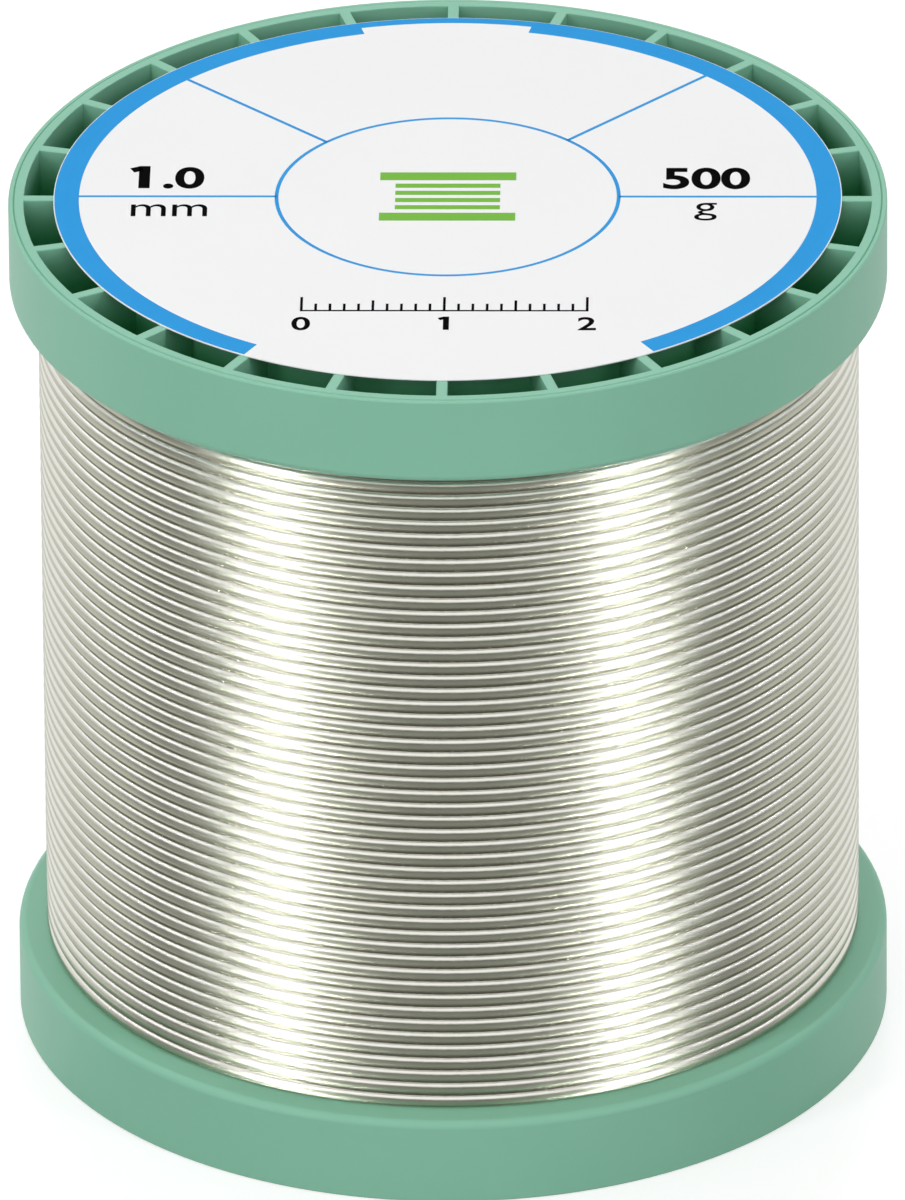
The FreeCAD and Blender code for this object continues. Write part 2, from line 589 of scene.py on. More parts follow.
LABEL_PAPER = PlainFinish(
    "label_paper", linear(248, 248, 248), linear(245, 245, 246), 0.6, 0.1, 3800.0, 90.0, 0.004 * MM
)
BLUE_INK = PlainFinish(
    "blue_ink", linear(42, 157, 227), linear(36, 151, 221), 0.5, 0.08, 3800.0, 300.0, 0.002 * MM
)
BLACK_INK = PlainFinish(
    "black_ink", linear(12, 12, 13), linear(18, 18, 19), 0.6, 0.0, 3800.0, 300.0, 0.002 * MM
)
GREEN_INK = PlainFinish(
    "green_ink", linear(122, 188, 66), linear(116, 182, 62), 0.5, 0.08, 3800.0, 300.0, 0.002 * MM
)
FLUX_RESIN = PlainFinish(
    "flux_resin", linear(214, 170, 92), linear(196, 148, 70), 0.2, 0.5, 2500.0, 900.0, 0.004 * MM
)
# the inner layers get their own colour and their own painted underside shade
UNDER_LAYERS = DrawnSolder(name="under_layers", colour=(0.36, 0.35, 0.28), underside_shade=(0.2, 0.19, 0.14), roughness=0.4)


def seen_directly(board: Board) -> Socket:
    """Add a test of whether a ray comes from the camera, a reflection or a clear material.

    Args:
        board: The material's or world's own tree.

    Returns:
        1 for such a ray and 0 for any other.
    """
    path = board.add("LightPath").outputs
    direct = board.maths("ADD", path["Is Camera Ray"], path["Is Glossy Ray"])
    return board.maths("ADD", direct, path["Is Transmission Ray"], clamp=True)


def front_shade(board: Board, towards_back: Socket, reach: Span, tone: float) -> Socket:
    """Add the darker side of the studio, in front of the spool, which shows only where something mirrors it.

    Args:
        board: The material's or world's own tree.
        towards_back: The coordinate that grows towards the back.
        reach: Its values where the shade is full and where it ends.
        tone: What is left of the brightness in the full shade.

    Returns:
        The share of the brightness that is left.
    """
    mirrored = board.add("LightPath").outputs["Is Glossy Ray"]
    shade = board.maths("MULTIPLY", board.ramp(towards_back, reach[1], reach[0]), 1.0 - tone)
    return board.maths("SUBTRACT", 1.0, board.maths("MULTIPLY", shade, mirrored))


@dataclass(frozen=True)
class PaleFloor(Finish):
    """A pale studio floor with a slight gloss, which keeps the spool's shadow."""

    name: str = "pale_floor"
    lit_colour: Colour = (0.6, 0.6, 0.6)
    seen_colour: Colour = (0.42, 0.42, 0.42)
    seen_glow: float = 0.64
    front_tone: float = 0.35
    front_reach: Span = (-0.022, -0.008)
    roughness: float = 0.3
    roughness_spread: float = 0.1
    specular: float = 0.3
    grain_per_metre: float = 900.0
    mottle_per_metre: float = 20.0

    def build(self) -> bpy.types.Material:
        """Build the material.

        Returns:
            The material.
        """
        material, board, place, grain = self.begin()
        direct = seen_directly(board)
        tone = front_shade(board, board.coordinate(place, 1), self.front_reach, self.front_tone)
        seen = board.blend(tone, (0, 0, 0), self.seen_colour)
        board.shade(
            {
                "Base Color": board.blend(direct, self.lit_colour, seen),
                "Roughness": board.vary(self.roughness, self.roughness_spread, grain["Mottle"]),
                "Specular IOR Level": self.specular,
                "Emission Color": WHITE,
                "Emission Strength": board.maths("MULTIPLY", board.maths("MULTIPLY", direct, self.seen_glow), tone),
            }
        )
        return material


# ---- Moulded spool ----


class HalfKind(enum.Enum):
    """Which half of the moulded spool, by the name of its piece."""

    LOWER = "lower_half"
    UPPER = "upper_half"


def tie_off_angle(rib_count: int, cell: int) -> float:
    """Angle of the middle of a rim cell, counted from the one just right of the front rib."""
    return FRONT_ANGLE + (cell - 0.5) * FULL_TURN / rib_count


@dataclass
class SpoolHalf:
    """One moulded half: a ribbed flange, half of the barrel and half of the hub tube.

    It is modelled with its end face on Z = 0 and its barrel upwards. The upper half is then turned over.
    """

    kind: HalfKind
    flange_radius: float
    flange_thickness: float
    spool_height: float
    bore_radius: float
    layer_radius: float
    web_thickness: float = 1.6 * MM
    rim_wall: float = 1.1 * MM
    rim_cell_length: float = 4.6 * MM
    ring_wall: float = 1.0 * MM
    rib_count: int = 24
    hub_rib_count: int = 12
    rib_thickness: float = 0.8 * MM
    barrel_radius: float = 16.25 * MM
    barrel_wall: float = 1.6 * MM
    hub_wall: float = 1.6 * MM
    bore_chamfer: float = 0.5 * MM
    edge_radius: float = 0.6 * MM
    corner_break: float = 0.09 * MM
    corner_angle: float = math.radians(40.0)
    groove_inset: float = 0.38 * MM
    groove_half_width: float = 0.07 * MM
    groove_depth: float = 0.12 * MM
    ledge_drop: float = 0.03 * MM
    spigot_length: float = 8.0 * MM
    spigot_wall: float = 1.2 * MM
    spigot_clearance: float = 0.05 * MM
    spigot_root_length: float = 3.0 * MM
    spigot_end_gap: float = 0.5 * MM
    spigot_lead: float = 0.4 * MM
    tie_off_radius: float = 0.75 * MM
    tie_off_run: float = 1.0 * MM
    tie_off_cell: int = 12
    tie_off_sides: int = 32
    flange_sides: int = 144
    hub_sides: int = 48
    rounding_steps: int = 5

    def __post_init__(self) -> None:
        """Work out the sizes that follow from the given ones, and the rings that each set of ribs crosses."""
        self.half_height = self.spool_height / 2
        self.rim_inner = self.flange_radius - self.rim_wall
        self.ring_outer = self.rim_inner - self.rim_cell_length
        self.ring_inner = self.ring_outer - self.ring_wall
        self.barrel_inner = self.barrel_radius - self.barrel_wall
        self.hub_radius = self.bore_radius + self.hub_wall
        self.bore_mouth = self.bore_radius + self.bore_chamfer
        self.rib_sets = (
            (self.rib_count, ((self.barrel_radius, self.ring_inner), (self.ring_outer, self.rim_inner))),
            (self.hub_rib_count, ((self.hub_radius, self.barrel_inner),)),
        )

    def build(self) -> Piece:
        """Model the half.

        Returns:
            The finished object.
        """
        self._draw_end_face()
        self._turn_outside()
        face_outwards(self.piece)
        self._score_ribs()
        self._sink_cells()
        self._break_corners()
        self._stand_hub_ribs()
        if self.kind is HalfKind.LOWER:
            self._drill_tie_off()
        else:
            self._turn_over()
        smooth_stiff(self.piece)
        return self.piece

    def _draw_end_face(self) -> None:
        """Draw the flat end face as rings from the bore's chamfer out to the rim's groove."""

        def beside_barrel_wall(edge: bmesh.types.BMEdge) -> bool:
            """Whether an edge is one of the two open rings at the barrel's wall."""
            radius = radius_of(edge.verts[0].co)
            return edge.is_boundary and self.barrel_inner - FLAT < radius < self.barrel_radius + FLAT

        clear_bench()
        bpy.ops.mesh.primitive_circle_add(vertices=self.hub_sides, radius=self.bore_mouth, location=(0, 0, 0))
        self.piece: Piece = new_piece(self.kind.value)
        with editing(self.piece):
            bpy.ops.mesh.select_mode(type=Part.EDGES.value)
            draw_ring([(self.bore_mouth, 0), (self.hub_radius, 0), (self.barrel_inner, 0)])
            bpy.ops.mesh.primitive_circle_add(
                vertices=self.flange_sides, radius=self.barrel_radius, location=(0, 0, 0)
            )
            bpy.ops.mesh.select_mode(type=Part.EDGES.value)
            draw_ring([(self.barrel_radius, 0), (self.ring_inner, 0), (self.ring_outer, 0), (self.rim_inner, 0)])
            pick(Part.EDGES, beside_barrel_wall)
            bpy.ops.mesh.bridge_edge_loops()

    def _outside_profile(self) -> list[Place]:
        """Follow the outside from the rim's inner edge, over the band and the web, down the barrel to the bore.

        Returns:
            Radius and height of each place.
        """
        groove = self.flange_radius - self.groove_inset
        places = [
            (self.rim_inner, 0.0),
            (groove - self.groove_half_width, 0.0),
            (groove, self.groove_depth),
            (groove + self.groove_half_width, self.ledge_drop),
            (self.flange_radius - self.corner_break, self.ledge_drop),
            (self.flange_radius, self.ledge_drop + self.corner_break),
        ]
        for step in range(self.rounding_steps + 1):
            turn = math.radians(90.0) * step / self.rounding_steps
            inwards, down = self.edge_radius * (1 - math.cos(turn)), self.edge_radius * (1 - math.sin(turn))
            places.append((self.flange_radius - inwards, self.flange_thickness - down))
        places += [(self.barrel_radius, self.flange_thickness), (self.barrel_radius, self.half_height)]
        if self.kind is HalfKind.UPPER:
            spigot = self.barrel_inner - self.spigot_clearance
            tip = self.half_height + self.spigot_length
            root = self.half_height - self.spigot_root_length
            places += [
                (spigot, self.half_height),
                (spigot, tip - self.spigot_lead),
                (spigot - self.spigot_lead, tip),
                (spigot - self.spigot_wall, tip),
                (spigot - self.spigot_wall, root),
                (self.barrel_inner, root),
            ]
        else:
            places.append((self.barrel_inner, self.half_height))
        return places + [
            (self.barrel_inner, self.flange_thickness),
            (self.hub_radius, self.flange_thickness),
            (self.hub_radius, self.half_height),
            (self.bore_radius, self.half_height),
            (self.bore_radius, self.bore_chamfer),
        ]

    def _turn_outside(self) -> None:
        """Turn the rest of the profile and close it at the bore's chamfer."""
        with editing(self.piece):
            pick(Part.EDGES, lambda edge: edge.is_boundary and radius_of(edge.verts[0].co) > self.rim_inner - FLAT)
            draw_ring(self._outside_profile())
            pick(Part.EDGES, lambda edge: edge.is_boundary)
            bpy.ops.mesh.bridge_edge_loops()

    @staticmethod
    def _in_rings(face: bmesh.types.BMFace, rings: tuple[Span, ...]) -> bool:
        """Whether a face of the end face lies between the two radii of one of some rings."""
        centre = face.calc_center_median()
        return abs(centre.z) < FLAT and any(inner < radius_of(centre) < outer for inner, outer in rings)

    def _score_ribs(self) -> None:
        """Cut the sides of every rib into the end face, two opposite ribs at a time."""
        with editing(self.piece):
            for count, rings in self.rib_sets:
                for index in range(count // 2):
                    angle = FRONT_ANGLE + index * FULL_TURN / count
                    across = Vector((-math.sin(angle), math.cos(angle), 0))
                    for side in (-1, 1):
                        pick(Part.FACES, lambda face: self._in_rings(face, rings))
                        bpy.ops.mesh.bisect(plane_co=across * side * self.rib_thickness / 2, plane_no=across)

    def _in_cell(self, face: bmesh.types.BMFace) -> bool:
        """Whether a face of the end face is the mouth of a cell between two ribs.

        Args:
            face: The face.

        Returns:
            The answer.
        """
        centre = face.calc_center_median()
        for count, rings in self.rib_sets:
            pitch = FULL_TURN / count
            turn = (math.atan2(centre.y, centre.x) - FRONT_ANGLE) % pitch
            beside_rib = radius_of(centre) * math.sin(min(turn, pitch - turn)) > self.rib_thickness / 2
            if beside_rib and self._in_rings(face, rings):
                return True
        return False

    def _sink_cells(self) -> None:
        """Sink the cells between the ribs down to the web."""
        with editing(self.piece):
            pick(Part.FACES, self._in_cell)
            bpy.ops.mesh.extrude_region_move(
                TRANSFORM_OT_translate={"value": (0, 0, self.flange_thickness - self.web_thickness)}
            )

    def _break_corners(self) -> None:
        """Take the sharpness off the mouths of the cells, and off the ribs and walls between them."""

        def at_mouth(edge: bmesh.types.BMEdge) -> bool:
            """Whether an edge is a sharp one of the end face, inside the rim's groove.

            Args:
                edge: The edge.

            Returns:
                The answer.
            """
            ends = [corner.co for corner in edge.verts]
            on_face = max(abs(end.z) for end in ends) < FLAT and radius_of(ends[0]) < self.rim_inner + FLAT
            off_bore = min(map(radius_of, ends)) > self.bore_mouth + FLAT
            return on_face and off_bore and edge.calc_face_angle(0.0) > self.corner_angle

        with editing(self.piece):
            pick(Part.EDGES, at_mouth)
            bpy.ops.mesh.bevel(offset=self.corner_break, segments=2, profile=0.5, affect="EDGES")

    def _stand_hub_ribs(self) -> None:
        """Stand the hub ribs on the web, between the hub tube and the barrel."""
        inner = self.hub_radius - self.hub_wall / 2
        outer = self.barrel_radius - self.barrel_wall / 2
        foot = self.flange_thickness - self.web_thickness / 2
        top = self.half_height - self.corner_break
        if self.kind is HalfKind.LOWER:
            top = self.half_height - self.spigot_length - self.spigot_end_gap
        bars = []
        for index in range(self.hub_rib_count):
            angle = FRONT_ANGLE + index * FULL_TURN / self.hub_rib_count
            place = polar((inner + outer) / 2, angle, (foot + top) / 2)
            clear_bench()
            bpy.ops.mesh.primitive_cube_add(size=1, location=place, rotation=(0, 0, angle))
            bars.append(settle("hub_rib", (outer - inner, self.rib_thickness, top - foot)))
        use_tool(self.piece, join("hub_ribs", bars), "UNION")

    def _drill_tie_off(self) -> None:
        """Drill the hole in the web that holds the wire's free end."""
        angle = tie_off_angle(self.rib_count, self.tie_off_cell)
        clear_bench()
        bpy.ops.mesh.primitive_cylinder_add(
            vertices=self.tie_off_sides,
            radius=self.tie_off_radius,
            depth=self.flange_thickness,
            location=polar(math.hypot(self.layer_radius, self.tie_off_run), angle, self.flange_thickness),
        )
        use_tool(self.piece, new_piece("tie_off_drill"), "DIFFERENCE")

    def _turn_over(self) -> None:
        """Turn the half over to the top of the spool."""
        with editing(self.piece):
            pick_all(Part.VERTS)
            bpy.ops.transform.resize(value=(1, 1, -1), center_override=(0, 0, self.half_height))
            bpy.ops.mesh.normals_make_consistent(inside=False)


# ---- Solder wire ----


def eased(travel: np.ndarray, start: float, span: float) -> np.ndarray:
    """Rise smoothly from 0 to 1 over a span of travel and return the share at each place."""
    share = np.clip((travel - start) / span, 0, 1)
    return share * share * (3 - 2 * share)


@dataclass
class Winding:
    """The outer layer of turns: one wire that lies level in front and steps over to each next turn behind."""

    layer_radius: float
    wire_diameter: float
    lower_web: float
    upper_web: float
    tail_bottom: float
    bend_radius: float = 1.0 * MM
    turns: int = 50
    tie_off_cell: int = 12
    rib_count: int = 24
    step_over_span: float = math.radians(60.0)
    step_over_margin: float = math.radians(10.0)
    dive_span: float = math.radians(34.0)
    dive_depth: float = 1.02 * MM
    slack_wave: float = 0.018 * MM
    slack_lift: float = 0.016 * MM
    bend_steps: int = 8
    sharp_from: float = 50.0
    waves: tuple[float, ...] = (0.083, 0.217, 0.51, 1.37, 2.71, 5.3)
    seed: int = 11

    @property
    def first_height(self) -> float:
        """Height of the middle of the first turn."""
        return self.lower_web + self.wire_diameter / 2

    @property
    def pitch(self) -> float:
        """Spacing of the turns."""
        return (self.upper_web - self.lower_web - self.wire_diameter) / (self.turns - 1)

    @property
    def start_angle(self) -> float:
        """Angle at which the wire, coming up through its hole, joins the first turn."""
        return tie_off_angle(self.rib_count, self.tie_off_cell) + math.atan(self.bend_radius / self.layer_radius)

    def _slack(self, travel: np.ndarray, stream: int) -> np.ndarray:
        """Make a smooth, slight unevenness along the wire.

        Args:
            travel: Angle travelled from the start of the first turn.
            stream: Which unevenness, by the number of its random draws.

        Returns:
            A value from -1 to 1 at each angle.
        """
        chance = np.random.default_rng(self.seed + stream)
        total = np.zeros_like(travel)
        for wave in self.waves:
            total += np.sin(travel * wave + chance.uniform(0, FULL_TURN)) / len(self.waves)
        return total

    def route(self, travel: np.ndarray) -> tuple[np.ndarray, np.ndarray]:
        """Find where the wire's middle line runs.

        Args:
            travel: Angle travelled from the start of the first turn.

        Returns:
            The radius and the height at each angle.
        """
        end = self.turns * FULL_TURN
        turn = np.floor(travel / FULL_TURN)
        step_start = FULL_TURN - self.step_over_margin - self.step_over_span
        stepped = eased(travel - turn * FULL_TURN, step_start, self.step_over_span)
        stepped = np.where(turn >= self.turns - 1, 0, stepped)
        level = np.minimum(turn + stepped, self.turns - 1)
        ends = np.clip(np.minimum(travel, end - travel) / FULL_TURN, 0, 1)
        height = self.first_height + self.pitch * level + self.slack_wave * ends * self._slack(travel, 1)
        dive = self.dive_depth * eased(travel, end - self.dive_span, self.dive_span)
        radius = self.layer_radius - self.slack_lift * (1 + self._slack(travel, 2)) / 2 - dive
        return radius, height

    def build(self, name: str, radius: float, sides: int, steps: int) -> Piece:
        """Wind a round thread along the wire's route.

        Args:
            name: Name for the object.
            radius: Radius of the thread.
            sides: Sides of its section.
            steps: Stations in each turn.

        Returns:
            The finished object.
        """
        clear_bench()
        bpy.ops.mesh.primitive_circle_add(
            vertices=sides,
            radius=radius,
            location=polar(self.layer_radius, self.start_angle, self.first_height),
            rotation=(math.pi / 2, 0, self.start_angle),
        )
        piece = settle(name)
        use_modifier(
            piece,
            "SCREW",
            axis="Z",
            angle=FULL_TURN,
            screw_offset=self.pitch,
            iterations=self.turns,
            steps=steps,
            render_steps=steps,
            use_merge_vertices=False,
            use_smooth_shade=True,
        )
        self._lay_turns(piece, sides, steps)
        self._bend_tail(piece, sides)
        face_outwards(piece)
        smooth(piece, self.sharp_from)
        return piece

    def _lay_turns(self, piece: Piece, sides: int, steps: int) -> None:
        """Move the even helix onto the wire's own route.

        Args:
            piece: The helix.
            sides: Sides of its section.
            steps: Stations in each turn.
        """
        mesh = piece.data
        points = np.empty(len(mesh.vertices) * 3)
        mesh.vertices.foreach_get("co", points)
        points = points.reshape(-1, 3)
        travel = (np.arange(len(points)) // sides) * FULL_TURN / steps
        angle = self.start_angle + travel
        out = np.hypot(points[:, 0], points[:, 1]) - self.layer_radius
        up = points[:, 2] - self.first_height - self.pitch * travel / FULL_TURN
        radius, height = self.route(travel)
        points[:, 0] = (radius + out) * np.cos(angle)
        points[:, 1] = (radius + out) * np.sin(angle)
        points[:, 2] = height + up
        mesh.vertices.foreach_set("co", points.ravel())
        mesh.update()

    def _bend_tail(self, piece: Piece, sides: int) -> None:
        """Bend the wire's free end down through its hole and close both ends.

        Args:
            piece: The wire.
            sides: Sides of its section.
        """
        outwards = Vector(polar(1.0, self.start_angle))
        centre = outwards * self.layer_radius + Vector((0, 0, self.first_height)) - Vector((0, 0, self.bend_radius))
        drop = self.tail_bottom - self.first_height + self.bend_radius
        with editing(piece):
            pick(Part.EDGES, lambda edge: edge.is_boundary and max(v.index for v in edge.verts) < sides)
            bpy.ops.mesh.spin(steps=self.bend_steps, angle=math.radians(90.0), center=centre, axis=-outwards)
            bpy.ops.mesh.extrude_edges_move(TRANSFORM_OT_translate={"value": (0, 0, drop)})
            bpy.ops.mesh.edge_face_add()
            pick(Part.EDGES, lambda edge: edge.is_boundary)
            bpy.ops.mesh.edge_face_add()


# ---- Label ----


@dataclass(frozen=True)
class Lettering:
    """Figures or letters that are set on the label."""

    text: str
    foot: Place
    height: float
    stretch: float = 0.95
    weight: float = 0.0


@dataclass
class PaperLabel:
    """The round paper label and what is printed on it."""

    radius: float
    bottom: float
    top: float
    ink_height: float = 0.006 * MM
    ring_outer: float = 27.73 * MM
    ring_inner: float = 26.0 * MM
    top_gap: float = math.radians(12.9)
    top_ring_inner: float = 26.95 * MM
    bottom_gap: float = math.radians(31.2)
    print_turn: float = math.radians(1.0)
    circle_radius: float = 12.06 * MM
    rule_width: float = 0.27 * MM
    rule_degrees: tuple[float, ...] = (0.0, 46.0, 136.0, 180.0)
    ring_sides: int = 360
    edge_break: float = 0.03 * MM
    lettering: tuple[Lettering, ...] = (
        Lettering(".0", (-18.7 * MM, 1.35 * MM), 3.2 * MM, weight=0.12 * MM),
        Lettering("mm", (-19.6 * MM, -3.05 * MM), 2.9 * MM),
        Lettering("500", (18.2 * MM, 1.3 * MM), 3.2 * MM, weight=0.12 * MM),
        Lettering("g", (18.2 * MM, -2.75 * MM), 2.9 * MM),
    )
    cap_height: float = 0.73
    one_foot: Place = (-21.45 * MM, 1.25 * MM)
    one_height: float = 3.4 * MM
    one_stroke: float = 0.8 * MM
    flag_turn: float = math.radians(25.0)
    flag_length: float = 0.22
    flag_width: float = 0.88
    flag_corner: Place = (-0.45, 0.99)
    scale_start: Place = (-10.0 * MM, -17.4 * MM)
    scale_length: int = 20
    scale_line: float = 0.2 * MM
    tick_width: float = 0.19 * MM
    tick_foot: float = 0.05 * MM
    tick_heights: Triple = (2.0 * MM, 1.5 * MM, 1.0 * MM)
    scale_figure_drop: float = 2.9 * MM
    scale_figure_height: float = 2.0 * MM
    scale_figure_weight: float = 0.05 * MM
    scale_one_stroke: float = 0.42 * MM
    scale_one_shift: float = 0.15 * MM
    sign_flange: Place = (9.6 * MM, 1.2 * MM)
    sign_flange_height: float = 3.1 * MM
    sign_turn: Place = (7.4 * MM, 0.62 * MM)
    sign_turn_spacing: float = 1.1 * MM
    sign_turns: int = 4

    @property
    def paper_top(self) -> float:
        """Height of the paper's face, under the ink."""
        return self.top - 2 * self.ink_height

    def build_paper(self) -> Piece:
        """Cut the paper disc.

        Returns:
            The finished object.
        """
        clear_bench()
        bpy.ops.mesh.primitive_circle_add(
            vertices=self.ring_sides // 2, radius=self.radius, fill_type="NGON", location=(0, 0, self.bottom)
        )
        piece = settle("paper_disc")
        with editing(piece):
            pick_all(Part.FACES)
            bpy.ops.mesh.extrude_region_move(TRANSFORM_OT_translate={"value": (0, 0, self.paper_top - self.bottom)})
            pick(Part.EDGES, lambda edge: abs(edge.verts[0].co.z - edge.verts[1].co.z) < FLAT)
            bpy.ops.mesh.bevel(offset=self.edge_break, segments=2, affect="EDGES")
        face_outwards(piece)
        smooth_stiff(piece)
        return piece

    def _flat_ring(self, inner: float, outer: float, keep: Callable[[float], bool]) -> Piece:
        """Draw a flat ring, and keep the parts of it whose angle passes a test.

        Args:
            inner: The ring's inner radius.
            outer: Its outer radius.
            keep: Test of an angle.

        Returns:
            The object.
        """

        def left_out(face: bmesh.types.BMFace) -> bool:
            """Whether a face lies where the ring is interrupted."""
            centre = face.calc_center_median()
            return not keep(math.atan2(centre.y, centre.x))

        clear_bench()
        bpy.ops.mesh.primitive_circle_add(vertices=self.ring_sides, radius=inner, location=(0, 0, 0))
        piece = new_piece("ring")
        with editing(piece):
            pick_all(Part.EDGES)
            draw_ring([(inner, 0), (outer, 0)])
            if pick(Part.FACES, left_out):
                bpy.ops.mesh.delete(type="FACE")
        return piece

    def _flat_bar(self, centre: Place, length: float, width: float, turn: float = 0.0) -> Piece:
        """Draw a flat bar.

        Args:
            centre: Where on the label its middle lies.
            length: Its length.
            width: Its width.
            turn: The angle that it is turned by.

        Returns:
            The object.
        """
        clear_bench()
        bpy.ops.mesh.primitive_plane_add(size=1, location=(*centre, 0), rotation=(0, 0, turn))
        return settle("bar", (length, width, 1))

    def _words(self, words: Lettering) -> Piece:
        """Set figures or letters flat on the label.

        Args:
            words: What is set, and where and how.

        Returns:
            The object.
        """
        clear_bench()
        bpy.ops.object.text_add(location=(*words.foot, 0))
        text = bpy.context.active_object.data
        text.body = words.text
        text.size = words.height / self.cap_height
        text.align_x = "CENTER"
        text.offset = words.weight
        text.fill_mode = "FRONT"
        bpy.ops.object.convert(target="MESH")
        return settle("figures", (words.stretch, 1, 1))

    def _figure_one(self, foot: Place, height: float, stroke: float) -> list[Piece]:
        """Draw a figure 1: a stem, and a flag that starts at the stem's upper corner.

        Args:
            foot: The middle of the stem's lower end.
            height: The stem's height.
            stroke: Its width.

        Returns:
            The stem and the flag.
        """
        along = Vector(polar(1.0, self.flag_turn)[:2])
        across = Vector((along.y, -along.x))
        length, width = self.flag_length * height, self.flag_width * stroke
        corner = Vector(foot) + Vector((self.flag_corner[0] * stroke, self.flag_corner[1] * height))
        flag = corner + across * width / 2 - along * length / 2
        return [
            self._flat_bar((foot[0], foot[1] + height / 2), stroke, height),
            self._flat_bar(tuple(flag), length, width, self.flag_turn),
        ]

    def _print(self, name: str, shapes: list[Piece]) -> Piece:
        """Join flat shapes into one thin layer of ink on the paper.

        Args:
            name: Name for the object.
            shapes: The shapes.

        Returns:
            The finished object.
        """
        piece = join(name, shapes)
        with editing(piece):
            pick_all(Part.VERTS)
            bpy.ops.mesh.remove_doubles(threshold=WELD)
            bpy.ops.transform.translate(value=(0, 0, self.paper_top + self.ink_height / 2))
            pick_all(Part.FACES)
            bpy.ops.mesh.normals_make_consistent(inside=False)
        use_modifier(piece, "SOLIDIFY", thickness=self.ink_height, offset=0.0)
        return piece

    def build_blue_print(self) -> Piece:
        """Print the ring, the inner circle and the dividing rules.

        Returns:
            The finished object.
        """
        back = math.radians(90.0)
        half_rule, length = self.rule_width / 2, self.ring_inner - self.circle_radius

        def beside_front(angle: float) -> bool:
            """Whether the ring is printed at an angle."""
            return abs(angle + back - self.print_turn) > self.bottom_gap

        def beside_gaps(angle: float) -> bool:
            """Whether the ring is printed in its whole width at an angle."""
            return beside_front(angle) and abs(angle - back - self.print_turn) > self.top_gap

        shapes = [
            self._flat_ring(self.top_ring_inner, self.ring_outer, beside_front),
            self._flat_ring(self.ring_inner, self.top_ring_inner, beside_gaps),
            self._flat_ring(self.circle_radius - half_rule, self.circle_radius + half_rule, lambda angle: True),
        ]
        middle = (self.circle_radius + self.ring_inner) / 2
        for turn in map(math.radians, self.rule_degrees):
            shapes.append(self._flat_bar(polar(middle, turn)[:2], length, self.rule_width, turn))
        return self._print("blue_print", shapes)

    def build_black_print(self) -> Piece:
        """Print the plain figures and a short scale.

        Returns:
            The finished object.
        """
        shapes = self._figure_one(self.one_foot, self.one_height, self.one_stroke)
        shapes += [self._words(words) for words in self.lettering]
        return self._print("black_print", shapes + self._scale())

    def _scale(self) -> list[Piece]:
        """Draw a short millimetre scale with figures for the centimetres.

        Returns:
            Its line, ticks and figures.
        """
        left, line = self.scale_start
        length = self.scale_length * MM
        shapes = [self._flat_bar((left + length / 2, line), length + self.scale_line, self.scale_line)]
        for tick in range(self.scale_length + 1):
            height = self.tick_heights[0 if tick % 10 == 0 else 1 if tick % 5 == 0 else 2]
            place, foot = left + tick * MM, line - self.scale_figure_drop
            shapes.append(self._flat_bar((place, line + height / 2 + self.tick_foot), self.tick_width, height))
            if tick == 10:
                one_foot = (place + self.scale_one_shift, foot)
                shapes += self._figure_one(one_foot, self.scale_figure_height, self.scale_one_stroke)
            elif tick % 10 == 0:
                figure = (str(tick // 10), (place, foot), self.scale_figure_height, 1.0, self.scale_figure_weight)
                shapes.append(self._words(Lettering(*figure)))
        return shapes

    def build_green_print(self) -> Piece:
        """Print a plain sign of a wound spool in the inner circle.

        Returns:
            The finished object.
        """
        shapes = [self._flat_bar((0, side * self.sign_flange_height), *self.sign_flange) for side in (1, -1)]
        for index in range(self.sign_turns):
            height = (index - (self.sign_turns - 1) / 2) * self.sign_turn_spacing
            shapes.append(self._flat_bar((0, height), *self.sign_turn))
        return self._print("green_print", shapes)


# ---- Studio ----


def direction_to(azimuth: float, elevation: float) -> Vector:
    """Direction to a place in the studio, from its degrees to the right of the front and above the floor."""
    side, up = math.radians(azimuth), math.radians(elevation)
    return Vector((math.sin(side) * math.cos(up), -math.cos(side) * math.cos(up), math.sin(up)))


@dataclass(frozen=True)
class Softbox:
    """A soft rectangular lamp that faces the spool."""

    name: str
    azimuth: float
    elevation: float
    distance: float
    width: float
    height: float
    radiance: float

    def hang(self, aim: Vector, turn: float) -> Piece:
        """Hang the lamp.

        Args:
            aim: The point that it faces.
            turn: The degrees that the whole studio is turned by.

        Returns:
            The lamp.
        """
        light = bpy.data.lights.new(self.name, "AREA")
        light.shape = "RECTANGLE"
        light.size = self.width
        light.size_y = self.height
        light.energy = self.radiance * math.pi * self.width * self.height
        lamp = bpy.data.objects.new(self.name, light)
        bpy.context.scene.collection.objects.link(lamp)
        away = direction_to(self.azimuth + turn, self.elevation)
        lamp.location = aim + away * self.distance
        lamp.rotation_mode = "QUATERNION"
        lamp.rotation_quaternion = away.to_track_quat("Z", "Y")
        return lamp


